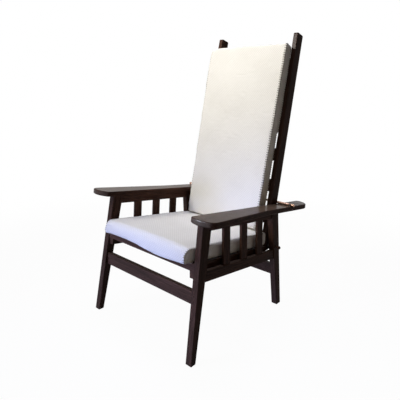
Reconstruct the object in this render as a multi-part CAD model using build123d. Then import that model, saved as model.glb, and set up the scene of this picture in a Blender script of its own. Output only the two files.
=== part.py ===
from build123d import *

import math
import os

# Mission reclining armchair: two slatted side frames with broad arms, a loose seat frame,
# and a ladder back that pivots low down and leans on a rod lying in notches of the arms.
# Millimetres and degrees, +Z up. The sitter faces -Y, and left is the sitter's left, at +X.
# Everything is drawn with Y = 0 at the front leg's front face, just under the arm, and is
# moved at the end so that the origin is at floor level in the middle of the chair.

# Wood joints
overrun = 30.0
joint_clearance = 0.15
seat_clearance = 0.3

# Side frames: each is drawn upright, in the YZ plane, and then leans out at its feet
arm_under_height = 519.0
arm_slope = 6.5
side_half_spacing = 271.0
foot_splay = 14.4
side_lean = math.degrees(math.asin(foot_splay / arm_under_height))

# Legs: both taper in a straight line from the arm's front height to the floor
leg_thickness = 29.0
leg_edge_radius = 2.5
front_leg_top_front = 0.0
front_leg_top_depth = 53.0
front_leg_foot_front = -66.2
front_leg_foot_depth = 25.4
back_leg_top_lead = 42.0
back_leg_top_depth = 58.5
back_leg_foot_setback = 18.6
back_leg_foot_depth = 33.0
arm_tenon_height = 12.0
arm_tenon_thickness = 12.0
arm_tenon_shoulder = 10.0

# Side rails and side slats
rail_thickness = 20.0
rail_edge_radius = 2.0
rail_tenon_length = 22.0
rail_tenon_thickness = 9.0
rail_tenon_shoulder = 7.0
lower_rail_bottom = 289.0
lower_rail_height = 41.0
upper_rail_height = 36.5
side_slat_count = 3
side_slat_width = 42.0
side_slat_thickness = 12.0
side_slat_spacing = 121.0
side_slat_setback = 11.0
side_slat_edge_radius = 1.5
side_slat_tenon_length = 11.0
side_slat_tenon_thickness = 7.0
side_slat_tenon_shoulder = 5.0

# Front stretcher and low rear rail
stretcher_bottom = 208.0
stretcher_height = 52.0
stretcher_tenon_length = 20.0
rear_rail_bottom = 144.0
rear_rail_height = 50.0
peg_diameter = 10.0
peg_length = 31.0
peg_proud = 0.8
peg_inset = 10.0
peg_spacing = 23.0
peg_end_chamfer = 0.8

# Arms: the underside passes through arm_under_height at Y = 0
arm_thickness = 22.0
arm_edge_chamfer = 3.0
arm_inner_overhang = 6.5
arm_front_width = 119.0
arm_rear_width = 81.0
arm_inner_lead = 33.0
arm_outer_lead = 35.0
arm_nose_lead = 54.0
arm_taper_end = 390.0
arm_tail = 17.5
arm_inner_corner_radius = 12.0
arm_outer_corner_radius = 30.0
arm_waist_radius = 900.0
arm_tip_radius = 15.0

# Seat bearers and seat frame
seat_slope = 8.0
bearer_front = -18.0
bearer_top = 330.0
bearer_width = 28.0
bearer_height = 27.0
bearer_tail = 25.0
seat_side_clearance = 0.9
seat_frame_lead = 2.0
seat_frame_rear_gap = 35.3
seat_rail_width = 24.0
seat_rail_height = 30.0
seat_tenon_length = 14.0
seat_tenon_thickness = 14.0
seat_tenon_shoulder = 5.0
strap_count = 7
strap_width = 50.0
strap_pitch = 69.0
strap_thickness = 2.0
strap_end_inset = 3.0

# Seat cushion
seat_cushion_inset = 10.0
seat_cushion_lead = 46.0
seat_cushion_rear_gap = 33.4
seat_cushion_front_thickness = 57.0
seat_cushion_rear_thickness = 62.0
seat_cushion_crown = 20.0

# Back frame, drawn upright with the pivot at its origin
pivot_place = 520.0
stile_foot_clearance = 4.3
back_lean = 13.0
stile_arm_clearance = 1.05
stile_thickness = 24.0
stile_depth = 56.0
stile_length = 1048.0
stile_edge_chamfer = 2.0
stile_top_radius = 7.0
back_slat_count = 6
back_slat_first = 129.0
back_slat_top_gap = 167.0
back_slat_width = 61.0
back_slat_thickness = 14.0
back_slat_edge_radius = 1.5
back_tenon_length = 12.0
back_tenon_thickness = 7.0
back_tenon_shoulder = 8.0

# Back cushion
back_cushion_bottom = 68.0
back_cushion_top_gap = 76.0
back_cushion_left_gap = 2.0
back_cushion_right_lap = 8.0
back_cushion_top_flare = 8.0
back_cushion_thickness = 60.0
back_cushion_crown = 14.0

# How both cushions are drawn in at their corners, edges and long sides
cushion_corner_draw = 11.0
cushion_edge_draw = 4.0
cushion_side_draw = 4.0
cushion_side_swell = 3.0
cushion_end_power = 12
cushion_end_crown_share = 0.1
cushion_station_shares = (0.0, 0.02, 0.08, 0.25, 0.5, 0.75, 0.92, 0.98, 1.0)

# Pivot pins
pin_diameter = 10.0
pin_running_clearance = 0.06
pin_end_inset = 0.5
spacer_diameter = 17.0
knob_length = 25.0
knob_diameter = 15.0
knob_neck_diameter = 11.0
knob_neck_share = 0.35
knob_shoulder_share = 0.8
knob_tip_share = 0.45

# Recline rod and its notches across the arms
rod_diameter = 12.0
rod_overhang = 7.0
rod_end_chamfer = 2.5
rod_neck_inset = 24.0
rod_neck_width = 5.6
rod_neck_depth = 1.4
notch_count = 3
notch_pitch = 49.0
notch_radius = 20.0
notch_depth = 1.5

# The arm's own plane: X across, Y down the arm to the rear, Z out of its top
arm_plane = Plane(
    origin=(0, 0, arm_under_height),
    x_dir=(1, 0, 0),
    z_dir=(0, math.sin(math.radians(arm_slope)), math.cos(math.radians(arm_slope))),
)

# The seat's own plane, on top of the bearers: X across, Y down the seat to the rear
seat_plane = Plane(
    origin=(0, bearer_front, bearer_top),
    x_dir=(1, 0, 0),
    z_dir=(0, math.sin(math.radians(seat_slope)), math.cos(math.radians(seat_slope))),
)


def fall(distance, slope):
    """How far a line with this slope falls over a distance to the rear."""
    return distance * math.tan(math.radians(slope))


def seat_drop(place):
    """How far below the bearer's front top edge the seat's plane is, at a place along Y."""
    return fall(place - bearer_front, seat_slope)


# Places that follow from the sizes above, across the chair
arm_inner = side_half_spacing - leg_thickness / 2 - arm_inner_overhang
arm_front_outer = arm_inner + arm_front_width
arm_rear_outer = arm_inner + arm_rear_width
stile_half_spacing = arm_inner - stile_arm_clearance - stile_thickness / 2
rod_half_length = arm_rear_outer + rod_overhang
rod_neck_place = rod_half_length - rod_neck_inset

# The pivot's height, with the stile's round foot just clear of the bearer, and what
# follows the pivot
foot_radius = stile_depth / 2
pivot_rise = (foot_radius + stile_foot_clearance) / math.cos(math.radians(seat_slope))
pivot_height = bearer_top - seat_drop(pivot_place) + pivot_rise
pivot_down_seat = (pivot_place - bearer_front) / math.cos(math.radians(seat_slope))
seat_frame_rear = pivot_down_seat - seat_frame_rear_gap
back_leg_top_front = pivot_place - back_leg_top_lead
back_leg_foot_front = pivot_place + back_leg_foot_setback
bearer_rear = pivot_place + bearer_tail


def block(x_range, y_range, z_range):
    """A square-edged block between two values on each axis."""
    ranges = (x_range, y_range, z_range)
    sizes = [high - low for low, high in ranges]
    middles = [(high + low) / 2 for low, high in ranges]
    return Pos(*middles) * Box(*sizes)


def eased(blank, radius):
    """A long blank with its four long edges rounded."""
    return fillet(blank.edges().sort_by(SortBy.LENGTH)[-4:], radius)


def cross_cylinder(radius, x_range, place, height):
    """A cylinder along X between two values, at a place along Y and a height."""
    low, high = x_range
    middle = Pos((low + high) / 2, place, height)
    return middle * Rot(0, 90, 0) * Cylinder(radius, high - low)


# Side frames


def side_plate(points, thickness, offset=0.0):
    """A plate of the side frame from (Y, Z) points, centred on the frame's middle plane."""
    outline = make_face(Polyline(*points, close=True))
    return Pos(offset, 0, 0) * extrude(Plane.YZ * outline, thickness / 2, both=True)


def leaned(shape):
    """Lean a side frame's piece about the line where the frame meets the left arm."""
    hinge = Pos(side_half_spacing, 0, arm_under_height)
    return hinge * Rot(0, -side_lean, 0) * Pos(0, 0, -arm_under_height) * shape


def side_inner_face(height):
    """X of the left legs' inner faces at a height, after the side frame leans."""
    lean = math.radians(side_lean)
    middle = side_half_spacing + (arm_under_height - height) * math.tan(lean)
    return middle - leg_thickness / 2 / math.cos(lean)


seat_frame_half_width = side_inner_face(bearer_top + seat_rail_height) - seat_side_clearance
seat_cushion_half_width = seat_frame_half_width - seat_cushion_inset


def below_arm(shape):
    """Cut a leaned piece off at the arm's underside."""
    return split(shape, bisect_by=arm_plane, keep=Keep.BOTTOM)


def above_floor(shape):
    """Cut a leg off level with the floor."""
    return split(shape, bisect_by=Plane.XY, keep=Keep.TOP)


def along_leg(top, foot, height):
    """Y, at a height, of a line that runs straight down a leg."""
    return foot + (top - foot) * height / arm_under_height


def front_leg_face(height):
    """Y of the front leg's front face."""
    return along_leg(front_leg_top_front, front_leg_foot_front, height)


def front_leg_back(height):
    """Y of the front leg's rear face."""
    top = front_leg_top_front + front_leg_top_depth
    return along_leg(top, front_leg_foot_front + front_leg_foot_depth, height)


def back_leg_face(height):
    """Y of the back leg's front face."""
    return along_leg(back_leg_top_front, back_leg_foot_front, height)


def back_leg_back(height):
    """Y of the back leg's rear face."""
    top = back_leg_top_front + back_leg_top_depth
    return along_leg(top, back_leg_foot_front + back_leg_foot_depth, height)


def leg_blank(face, back, thickness, inset=0.0):
    """A leg between its two faces, longer than the leg at both ends."""
    low, high = -overrun, arm_under_height + overrun
    points = [
        (face(low) + inset, low),
        (face(high) + inset, high),
        (back(high) - inset, high),
        (back(low) - inset, low),
    ]
    return side_plate(points, thickness)


def arm_tenon(face, back, grow):
    """The tenon on a leg's top, or its mortise when grown by the joint's clearance."""
    thickness = arm_tenon_thickness + 2 * grow
    core = leaned(leg_blank(face, back, thickness, arm_tenon_shoulder - grow))
    top_plane = arm_plane.offset(arm_tenon_height + grow)
    upper = split(core, bisect_by=arm_plane, keep=Keep.TOP)
    return split(upper, bisect_by=top_plane, keep=Keep.BOTTOM)


def sloped_bar(bottom, height, thickness, start, end, grow=0.0):
    """A bar of the side frame that falls with the arm; bottom is its height at Y = 0."""
    first = start - grow
    last = end + grow
    low = bottom - grow
    high = bottom + height + grow
    points = [
        (first, low - fall(first, arm_slope)),
        (last, low - fall(last, arm_slope)),
        (last, high - fall(last, arm_slope)),
        (first, high - fall(first, arm_slope)),
    ]
    return side_plate(points, thickness + 2 * grow)


def rail_tenons(bottom, height, grow=0.0):
    """The tenon bar through a side rail, which shows past both of its shoulders."""
    middle = bottom + height / 2
    start = front_leg_back(middle) - rail_tenon_length
    end = back_leg_face(middle - fall(back_leg_top_front, arm_slope)) + rail_tenon_length
    tenon_bottom = bottom + rail_tenon_shoulder
    tenon_height = height - 2 * rail_tenon_shoulder
    return sloped_bar(tenon_bottom, tenon_height, rail_tenon_thickness, start, end, grow)


def rail_blank(bottom, height):
    """A side rail from inside the front leg to inside the back leg."""
    middle = bottom + height / 2
    low_middle = middle - fall(back_leg_top_front, arm_slope)
    start = (front_leg_face(middle) + front_leg_back(middle)) / 2
    end = (back_leg_face(low_middle) + back_leg_back(low_middle)) / 2
    return sloped_bar(bottom, height, rail_thickness, start, end)


def side_slat_places():
    """Y of the middle of each side slat."""
    middle = (front_leg_top_front + front_leg_top_depth + back_leg_top_front) / 2
    first = middle + side_slat_setback - side_slat_spacing * (side_slat_count - 1) / 2
    return [first + side_slat_spacing * index for index in range(side_slat_count)]


def slat_bar(place, width, thickness, reach, grow=0.0):
    """An upright bar that reaches this far into both side rails at one place."""
    drop = fall(place, arm_slope)
    low = lower_rail_bottom + lower_rail_height - drop - reach - grow
    high = upper_rail_bottom - drop + reach + grow
    left = place - width / 2 - grow
    right = place + width / 2 + grow
    points = [(left, low), (right, low), (right, high), (left, high)]
    return side_plate(points, thickness + 2 * grow)


def slat_tenons(place, grow=0.0):
    """The tenon bar through a side slat, or the mortises that it needs."""
    width = side_slat_width - 2 * side_slat_tenon_shoulder
    thickness = side_slat_tenon_thickness
    return slat_bar(place, width, thickness, side_slat_tenon_length, grow)


upper_rail_bottom = arm_under_height - upper_rail_height
front_blank = leg_blank(front_leg_face, front_leg_back, leg_thickness)
back_blank = leg_blank(back_leg_face, back_leg_back, leg_thickness)
lower_blank = rail_blank(lower_rail_bottom, lower_rail_height)
upper_blank = rail_blank(upper_rail_bottom, upper_rail_height + overrun)
lower_tenons = rail_tenons(lower_rail_bottom, lower_rail_height)
lower_mortises = rail_tenons(lower_rail_bottom, lower_rail_height, joint_clearance)
upper_tenons = rail_tenons(upper_rail_bottom, upper_rail_height)
upper_mortises = rail_tenons(upper_rail_bottom, upper_rail_height, joint_clearance)


def side_slat(place):
    """A side slat with its shoulders on the two rails and a tenon in each."""
    reach = min(lower_rail_height, upper_rail_height) / 2
    blank = slat_bar(place, side_slat_width, side_slat_thickness, reach)
    shouldered = eased(blank, side_slat_edge_radius) - lower_blank - upper_blank
    return leaned(shouldered + slat_tenons(place))


def side_rail(blank, tenons):
    """A side rail with its shoulders on the two legs, mortised for the slats."""
    rail = eased(blank, rail_edge_radius) - front_blank - back_blank + tenons
    for place in side_slat_places():
        rail = rail - slat_tenons(place, joint_clearance)
    return leaned(rail)


# Cross rails between the two side frames


def cross_bar(y_middle, z_range, thickness, reach, grow=0.0):
    """A bar across the chair that reaches this far past the legs' inner faces."""
    low, high = z_range
    half = side_inner_face((low + high) / 2) + reach + grow
    y_range = (y_middle - thickness / 2 - grow, y_middle + thickness / 2 + grow)
    return block((-half, half), y_range, (low - grow, high + grow))


def cross_tenons(y_middle, z_range, reach, grow=0.0):
    """The tenon bar through a cross rail, or its mortises."""
    low, high = z_range
    tenon_range = (low + rail_tenon_shoulder, high - rail_tenon_shoulder)
    return cross_bar(y_middle, tenon_range, rail_tenon_thickness, reach, grow)


def cross_rail(y_middle, z_range, leg):
    """A rail across the chair with its shoulders on both legs of a pair."""
    blank = cross_bar(y_middle, z_range, rail_thickness, leg_thickness / 2)
    rail = eased(blank, rail_edge_radius) - leg - mirror(leg, about=Plane.YZ)
    return rail + cross_tenons(y_middle, z_range, stretcher_tenon_length)


def rail_middle(face, back, z_range):
    """Y of a cross rail that is centred in the depth of its legs."""
    height = sum(z_range) / 2
    return (face(height) + back(height)) / 2


stretcher_range = (stretcher_bottom, stretcher_bottom + stretcher_height)
stretcher_middle = rail_middle(front_leg_face, front_leg_back, stretcher_range)
rear_rail_range = (rear_rail_bottom, rear_rail_bottom + rear_rail_height)
rear_rail_middle = rail_middle(back_leg_face, back_leg_back, rear_rail_range)


def peg_heights():
    """Heights of the two pegs that lock each of the stretcher's tenons."""
    middle = sum(stretcher_range) / 2
    return (middle - peg_spacing / 2, middle + peg_spacing / 2)


def peg_blank(height, grow):
    """A square-ended peg from the front leg's front face, or its hole."""
    middle = front_leg_face(height) - peg_proud + peg_length / 2
    pin = Rot(90, 0, 0) * Cylinder(peg_diameter / 2 + grow, peg_length + 2 * grow)
    return Pos(side_inner_face(height) + peg_inset, middle, height) * pin


def peg(height):
    """A peg through the front leg and the tenon, chamfered at its end that shows."""
    rims = peg_blank(height, 0).edges().filter_by(GeomType.CIRCLE)
    return chamfer(rims.sort_by(Axis.Y)[0], peg_end_chamfer)


# Legs


def front_leg():
    """The left front leg, mortised for both side rails and the stretcher."""
    leg = below_arm(above_floor(leaned(eased(front_blank, leg_edge_radius))))
    leg = leg + arm_tenon(front_leg_face, front_leg_back, 0)
    leg = leg - leaned(lower_mortises) - leaned(upper_mortises)
    grow = joint_clearance
    leg = leg - cross_tenons(stretcher_middle, stretcher_range, stretcher_tenon_length, grow)
    for height in peg_heights():
        leg = leg - peg_blank(height, joint_clearance)
    return leg


def back_leg():
    """The left back leg, mortised for its rails and bored for the pivot pin."""
    leg = below_arm(above_floor(leaned(eased(back_blank, leg_edge_radius))))
    leg = leg + arm_tenon(back_leg_face, back_leg_back, 0)
    leg = leg - leaned(lower_mortises) - leaned(upper_mortises)
    grow = joint_clearance
    leg = leg - cross_tenons(rear_rail_middle, rear_rail_range, stretcher_tenon_length, grow)
    inner = side_inner_face(pivot_height)
    bore_range = (inner - overrun, inner + leg_thickness + overrun)
    return leg - cross_cylinder(pin_hole_radius, bore_range, pivot_place, pivot_height)


def stretcher():
    """The front stretcher, with peg holes through its tenons."""
    rail = cross_rail(stretcher_middle, stretcher_range, leaned(front_blank))
    for height in peg_heights():
        hole = peg_blank(height, joint_clearance)
        rail = rail - hole - mirror(hole, about=Plane.YZ)
    return rail


# Recline geometry, in the YZ plane through the pivot

pin_hole_radius = pin_diameter / 2 + pin_running_clearance
rod_stand_off = stile_depth / 2 + seat_clearance + rod_diameter / 2
rod_rest_height = arm_thickness - notch_depth + seat_clearance + rod_diameter / 2


def rod_travel_up(lean):
    """How far up the stile the rod lies when it rests on the arms at a back lean."""
    slope = math.radians(arm_slope)
    turn = math.radians(lean) - slope
    pivot_below = (arm_under_height - pivot_height) * math.cos(slope)
    pivot_below = pivot_below - pivot_place * math.sin(slope)
    return (rod_rest_height + pivot_below + rod_stand_off * math.sin(turn)) / math.cos(turn)


def rod_on_arm(lean):
    """How far down the arm's plane the rod lies at a back lean."""
    slope = math.radians(arm_slope)
    turn = math.radians(lean) - slope
    pivot_along = pivot_place * math.cos(slope)
    pivot_along = pivot_along + (arm_under_height - pivot_height) * math.sin(slope)
    return pivot_along + rod_travel_up(lean) * math.sin(turn) + rod_stand_off * math.cos(turn)


def lean_at_notch(index):
    """The back's lean when the rod lies in a notch counted from the upright one."""
    slope = math.radians(arm_slope)
    along = rod_on_arm(back_lean) + notch_pitch * index
    along = along - pivot_place * math.cos(slope)
    along = along - (arm_under_height - pivot_height) * math.sin(slope)
    above = rod_rest_height - pivot_place * math.sin(slope)
    above = above + (arm_under_height - pivot_height) * math.cos(slope)
    turn = math.atan2(along, above) - math.asin(rod_stand_off / math.hypot(along, above))
    return math.degrees(turn + slope)


# Arms

arm_straight_end = rod_on_arm(back_lean) + notch_pitch * (notch_count - 1) + arm_tail


def arm_outline():
    """The arm seen from above its own plane: a broad nose, a taper and a rounded tip."""
    inner_front = (arm_inner, -arm_inner_lead)
    nose = ((arm_inner + arm_front_outer) / 2, -arm_nose_lead)
    outer_front = (arm_front_outer, -arm_outer_lead)
    waist = (arm_rear_outer, arm_taper_end)
    shoulder = (arm_rear_outer, arm_straight_end)
    tip = (arm_inner, arm_straight_end + arm_rear_width)
    edges = [
        ThreePointArc(inner_front, nose, outer_front),
        Line(outer_front, waist),
        Line(waist, shoulder),
        TangentArc(shoulder, tip, tangent=(0, 1)),
        Line(tip, inner_front),
    ]
    outline = make_face(Curve() + edges)
    corners = (
        (inner_front, arm_inner_corner_radius),
        (outer_front, arm_outer_corner_radius),
        (waist, arm_waist_radius),
        (tip, arm_tip_radius),
    )
    for corner, radius in corners:
        vertex = outline.vertices().sort_by_distance(Vector(*corner, 0))[0]
        outline = fillet(vertex, radius)
    return outline


def notches():
    """The scoops across the arm's top that the rod drops into."""
    x_range = (arm_inner - overrun, arm_front_outer + overrun)
    height = arm_thickness - notch_depth + notch_radius
    scoops = Part()
    for index in range(notch_count):
        place = rod_on_arm(back_lean) + notch_pitch * index
        scoops = scoops + cross_cylinder(notch_radius, x_range, place, height)
    return scoops


def arm():
    """The left arm, notched on top and mortised below for both legs."""
    blank = extrude(arm_outline(), arm_thickness)
    rims = blank.edges().group_by(Axis.Z)
    softened = chamfer(rims[0] + rims[-1], arm_edge_chamfer)
    placed = arm_plane * (softened - notches())
    placed = placed - arm_tenon(front_leg_face, front_leg_back, joint_clearance)
    return placed - arm_tenon(back_leg_face, back_leg_back, joint_clearance)


# Seat bearers, seat frame and webbing


def bearer():
    """The left seat bearer, on the side rail's inner face and rebated round the legs."""
    front = bearer_front
    low_front = bearer_top - bearer_height
    drop = seat_drop(bearer_rear)
    points = [
        (front, low_front),
        (bearer_rear, low_front - drop),
        (bearer_rear, bearer_top + overrun - drop),
        (front, bearer_top + overrun),
    ]
    offset = -(rail_thickness + bearer_width) / 2
    blank = side_plate(points, bearer_width, offset) - front_blank - back_blank
    return split(leaned(blank), bisect_by=seat_plane, keep=Keep.BOTTOM)


def seat_block(x_range, y_range, z_range):
    """A block drawn in the seat's own plane."""
    return seat_plane * block(x_range, y_range, z_range)


def seat_cross_rail(y_start):
    """The seat frame's front or rear rail, with its long edges rounded."""
    half = seat_frame_half_width
    y_range = (y_start, y_start + seat_rail_width)
    blank = block((-half, half), y_range, (0, seat_rail_height))
    return seat_plane * eased(blank, rail_edge_radius)


def seat_side_tenons(grow=0.0):
    """The tenon bar through the left side rail of the seat frame."""
    middle = seat_frame_half_width - seat_rail_width / 2
    half = seat_tenon_thickness / 2 + grow
    start = seat_inner_front - seat_tenon_length - grow
    end = seat_inner_rear + seat_tenon_length + grow
    low = seat_tenon_shoulder - grow
    high = seat_rail_height - seat_tenon_shoulder + grow
    return seat_block((middle - half, middle + half), (start, end), (low, high))


def seat_side_rail():
    """The left side rail of the seat frame, tenoned into the front and rear rails."""
    x_range = (seat_frame_half_width - seat_rail_width, seat_frame_half_width)
    blank = block(x_range, (seat_inner_front, seat_inner_rear), (0, seat_rail_height))
    return seat_plane * eased(blank, rail_edge_radius) + seat_side_tenons()


def seat_end_rail(y_start):
    """A front or rear rail of the seat frame with its two mortises."""
    mortise = seat_side_tenons(joint_clearance)
    return seat_cross_rail(y_start) - mortise - mirror(mortise, about=Plane.YZ)


def strap(index):
    """One webbing strap across the top of the seat frame."""
    length = strap_pitch * (strap_count - 1) + strap_width
    first = (seat_inner_front + seat_inner_rear - length) / 2
    start = first + strap_pitch * index
    y_range = (start, start + strap_width)
    half = seat_frame_half_width - strap_end_inset
    low = seat_rail_height
    return seat_block((-half, half), y_range, (low, low + strap_thickness))


seat_inner_front = seat_rail_width - seat_frame_lead
seat_inner_rear = seat_frame_rear - seat_rail_width


# Cushions


def cushion_section(half_width, low, high, crown):
    """An outline across a cushion: a flat base, swelling sides and a crowned top."""
    middle = (low + high) / 2
    swell = half_width + cushion_side_swell
    edges = [
        Line((-half_width, low), (half_width, low)),
        ThreePointArc((half_width, low), (swell, middle), (half_width, high)),
        ThreePointArc((half_width, high), (0, high + crown), (-half_width, high)),
        ThreePointArc((-half_width, high), (-swell, middle), (-half_width, low)),
    ]
    return make_face(Curve() + edges)


def box_cushion(length, half_width, first_thickness, last_thickness, crown, flare=0.0):
    """A box cushion along +Y, its base down; a flare widens its last end towards -X."""
    sections = []
    for share in cushion_station_shares:
        from_middle = abs(2 * share - 1)
        drawn = from_middle**cushion_end_power
        bowed = 1 - from_middle**2
        thickness = first_thickness + (last_thickness - first_thickness) * share
        widened = flare * share
        half = half_width - cushion_corner_draw * drawn - cushion_side_draw * bowed
        half = half + widened
        low = cushion_edge_draw * drawn
        crown_share = cushion_end_crown_share + (1 - cushion_end_crown_share) * bowed
        section = cushion_section(half, low, thickness - low, crown * crown_share)
        sections.append(Plane.XZ.offset(-length * share) * Pos(-widened, 0) * section)
    return loft(sections, ruled=True)


def seat_cushion():
    """The seat cushion, just clear of the webbing and overhanging the seat's front."""
    blank = box_cushion(
        seat_cushion_lead + pivot_down_seat - seat_cushion_rear_gap,
        seat_cushion_half_width,
        seat_cushion_front_thickness,
        seat_cushion_rear_thickness,
        seat_cushion_crown,
    )
    base = seat_rail_height + strap_thickness + seat_clearance
    return seat_plane * (Pos(0, -seat_cushion_lead, base) * blank)


# Back frame


def reclined(shape):
    """Place a piece drawn upright about the pivot at the back's upright lean."""
    return Pos(0, pivot_place, pivot_height) * Rot(-back_lean, 0, 0) * shape


def back_slat_y():
    """Y range of the back slats, in the upright back: flush with the stiles' front."""
    front = -stile_depth / 2
    return (front, front + back_slat_thickness)


def back_slat_tenons(height, grow=0.0):
    """The tenon bar through one back slat, or its mortises in the stiles."""
    half = stile_half_spacing - stile_thickness / 2 + back_tenon_length + grow
    y_middle = sum(back_slat_y()) / 2
    y_half = back_tenon_thickness / 2 + grow
    z_half = back_slat_width / 2 - back_tenon_shoulder + grow
    y_range = (y_middle - y_half, y_middle + y_half)
    return block((-half, half), y_range, (height - z_half, height + z_half))


def back_slat_heights():
    """Distance of each back slat's middle from the pivot, up the stile."""
    span = stile_length - back_slat_top_gap - back_slat_first
    pitch = span / (back_slat_count - 1)
    return [back_slat_first + pitch * index for index in range(back_slat_count)]


def back_slat(height):
    """One back slat with its shoulders on the stiles."""
    half = stile_half_spacing - stile_thickness / 2
    z_range = (height - back_slat_width / 2, height + back_slat_width / 2)
    blank = eased(block((-half, half), back_slat_y(), z_range), back_slat_edge_radius)
    return reclined(blank + back_slat_tenons(height))


def back_stile():
    """The left stile: round about the pivot pin, softened on top, mortised inside."""
    depth = stile_depth
    shaft = Pos(0, stile_length / 2) * Rectangle(depth, stile_length)
    outline = fillet(shaft.vertices().group_by(Axis.Y)[-1], stile_top_radius)
    outline = outline + Circle(depth / 2)
    blank = extrude(Plane.YZ * outline, stile_thickness / 2, both=True)
    blank = chamfer(blank.faces().filter_by(Axis.X).edges(), stile_edge_chamfer)
    stile = Pos(stile_half_spacing, 0, 0) * blank
    for height in back_slat_heights():
        stile = stile - back_slat_tenons(height, joint_clearance)
    x_range = (stile_half_spacing - overrun, stile_half_spacing + overrun)
    return reclined(stile - cross_cylinder(pin_hole_radius, x_range, 0, 0))


def back_cushion():
    """The back cushion, just clear of the slats: it lies a little over the right stile."""
    left = stile_half_spacing - stile_thickness / 2 - back_cushion_left_gap
    right = stile_half_spacing - stile_thickness / 2 + back_cushion_right_lap
    blank = box_cushion(
        stile_length - back_cushion_top_gap - back_cushion_bottom,
        (left + right) / 2 - cushion_side_swell,
        back_cushion_thickness,
        back_cushion_thickness,
        back_cushion_crown,
        back_cushion_top_flare,
    )
    base = back_slat_y()[0] - seat_clearance
    centred = Pos((left - right) / 2, base, back_cushion_bottom)
    return reclined(centred * Rot(90, 0, 0) * blank)


# Pivot pins and recline rod


def pivot_pin():
    """The left pivot pin, with the turned knob outside the back leg."""
    start = stile_half_spacing - stile_thickness / 2 + pin_end_inset
    face = side_inner_face(pivot_height) + leg_thickness + seat_clearance
    radius = pin_diameter / 2
    neck = knob_neck_diameter / 2
    full = knob_diameter / 2
    belly = face + knob_length * knob_neck_share
    shoulder = face + knob_length * knob_shoulder_share
    end = face + knob_length
    tip = full * knob_tip_share
    profile = Polyline(
        (start, 0),
        (start, radius),
        (face, radius),
        (face, neck),
        (belly, full),
        (shoulder, full),
        (end, tip),
        (end, 0),
        close=True,
    )
    turned = revolve(make_face(profile), Axis.X)
    return Pos(0, pivot_place, pivot_height) * turned


def pivot_spacer():
    """The left washer on the pin between the back leg and the stile."""
    start = stile_half_spacing + stile_thickness / 2 + seat_clearance
    lean_loss = spacer_diameter / 2 * math.tan(math.radians(side_lean))
    end = side_inner_face(pivot_height) - lean_loss - joint_clearance
    x_range = (start, end)
    ring = cross_cylinder(spacer_diameter / 2, x_range, pivot_place, pivot_height)
    return ring - cross_cylinder(pin_hole_radius, x_range, pivot_place, pivot_height)


def recline_rod():
    """The rod across both arms behind the stiles, with a turned neck near each end."""
    radius = rod_diameter / 2
    rod = cross_cylinder(radius, (-rod_half_length, rod_half_length), 0, 0)
    rod = chamfer(rod.edges().filter_by(GeomType.CIRCLE), rod_end_chamfer)
    neck_half = rod_neck_width / 2
    x_range = (rod_neck_place - neck_half, rod_neck_place + neck_half)
    groove = cross_cylinder(radius + overrun, x_range, 0, 0)
    groove = groove - cross_cylinder(radius - rod_neck_depth, x_range, 0, 0)
    rod = rod - groove - mirror(groove, about=Plane.YZ)
    return reclined(Pos(0, rod_stand_off, rod_travel_up(back_lean)) * rod)


# The whole chair

pieces = {}


def add_pair(name, shape):
    """Add the left piece and its mirror image; the name has a place for the side."""
    pieces[name.format("left")] = shape
    pieces[name.format("right")] = mirror(shape, about=Plane.YZ)


add_pair("front_leg_{}", front_leg())
add_pair("back_leg_{}", back_leg())
add_pair("arm_{}", arm())
add_pair("lower_side_rail_{}", side_rail(lower_blank, lower_tenons))
add_pair("upper_side_rail_{}", below_arm(side_rail(upper_blank, upper_tenons)))
for number, slat_place in enumerate(side_slat_places(), 1):
    add_pair("side_slat_{}_" + str(number), side_slat(slat_place))
pieces["front_stretcher"] = stretcher()
pieces["rear_rail"] = cross_rail(rear_rail_middle, rear_rail_range, leaned(back_blank))
for number, peg_height in enumerate(peg_heights(), 1):
    add_pair("stretcher_peg_{}_" + str(number), peg(peg_height))
add_pair("seat_bearer_{}", bearer())
pieces["seat_front_rail"] = seat_end_rail(-seat_frame_lead)
pieces["seat_rear_rail"] = seat_end_rail(seat_inner_rear)
add_pair("seat_side_rail_{}", seat_side_rail())
for number in range(strap_count):
    pieces["seat_strap_" + str(number + 1)] = strap(number)
pieces["seat_cushion"] = seat_cushion()
add_pair("back_stile_{}", back_stile())
for number, slat_height in enumerate(back_slat_heights(), 1):
    pieces["back_slat_" + str(number)] = back_slat(slat_height)
pieces["back_cushion"] = back_cushion()
add_pair("pivot_pin_{}", pivot_pin())
add_pair("pivot_spacer_{}", pivot_spacer())
pieces["recline_rod"] = recline_rod()

# The origin goes to the middle of the whole chair, at floor level
boxes = [shape.bounding_box() for shape in pieces.values()]
front_end = min(box.min.Y for box in boxes)
rear_end = max(box.max.Y for box in boxes)
shift = -(front_end + rear_end) / 2
os.makedirs("parts", exist_ok=True)
for node, shape in pieces.items():
    export_step(Pos(0, shift, 0) * shape, f"parts/{node}.step")

# Sizes of the mechanism, for whoever sets up its joints
recline_range = lean_at_notch(notch_count - 1) - back_lean
rod_travel = rod_travel_up(back_lean + recline_range) - rod_travel_up(back_lean)
print("pivot_y", round(pivot_place + shift, 4))
print("pivot_z", round(pivot_height, 4))
print("back_lean", back_lean)
print("recline_range", round(recline_range, 4))
print("rod_travel", round(rod_travel, 4))
print("width", round(max(box.max.X for box in boxes) * 2, 2))
print("depth", round(rear_end - front_end, 2))
print("height", round(max(box.max.Z for box in boxes), 2))
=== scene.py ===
# %% [markdown]
# This notebook dresses a mission reclining armchair: two slatted side frames with broad
# arms, a ladder back that turns on two pins, a rod that props it from notches in the arms,
# and two box cushions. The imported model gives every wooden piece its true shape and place,
# so the first step loads it and measures it. Everything below is in metres.

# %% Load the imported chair
import math

import bmesh
import bpy
import numpy as np
from mathutils import Matrix, Vector, noise
from mathutils.bvhtree import BVHTree
from mathutils.kdtree import KDTree


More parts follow.
